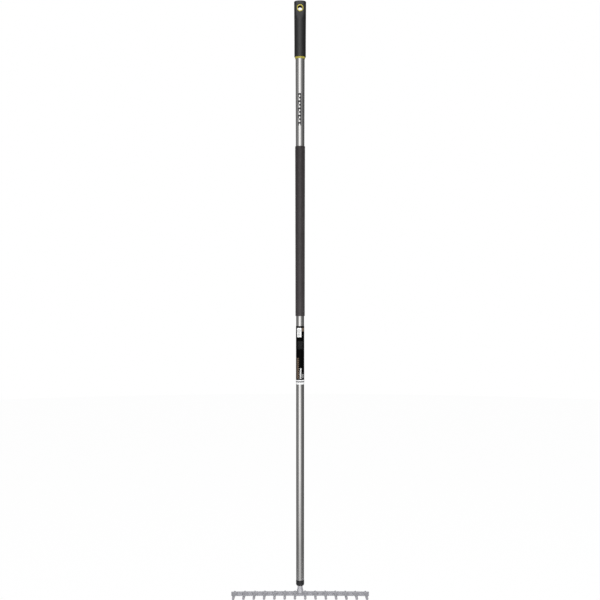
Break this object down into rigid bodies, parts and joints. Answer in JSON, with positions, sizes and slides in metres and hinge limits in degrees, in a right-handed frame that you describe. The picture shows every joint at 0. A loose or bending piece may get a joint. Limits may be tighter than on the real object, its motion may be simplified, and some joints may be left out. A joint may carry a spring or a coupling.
{
  "type": "garden rake",
  "caption": "Level-head garden rake: curved tapered tines in a flat bar on a tubular aluminium shaft, with a foam sleeve and a hand grip that ends in a hanging eyelet.",
  "frame": {"origin": "the middle of the hang hole in the end of the hand grip, on the shaft's axis", "axes": "+Z along the shaft, from the head towards the hand grip; +X along the head's bar; the tines reach out along -Y"},
  "size_m": [0.3802, 0.0916, 1.6416],
  "materials": {
    "tube_aluminium": "drawn tube, satin",
    "amber_plastic": "hard moulded, satin",
    "black_soft_plastic": "soft overmould, satin",
    "charcoal_foam": "matt, fine grain",
    "printed_film": "printed film, semi-gloss",
    "black_plastic": "moulded, satin",
    "bright_steel": "forged and zinc plated",
    "grey_steel": "mottled grey, satin"
  },
  "bodies": {
    "root": {"shaft_tube": "tube_aluminium", "grip_core": "amber_plastic", "grip_cover": "black_soft_plastic", "foam_sleeve": "charcoal_foam", "label_sleeve": "printed_film", "ferrule": "black_plastic", "tang": "bright_steel", "head_bar": "grey_steel", "tine_01": "grey_steel", "tine_02": "grey_steel", "tine_03": "grey_steel", "tine_04": "grey_steel", "tine_05": "grey_steel", "tine_06": "grey_steel", "tine_07": "grey_steel", "tine_08": "grey_steel", "tine_09": "grey_steel", "tine_10": "grey_steel", "tine_11": "grey_steel", "tine_12": "grey_steel", "tine_13": "grey_steel", "tine_14": "grey_steel"}
  },
  "joints": []
}
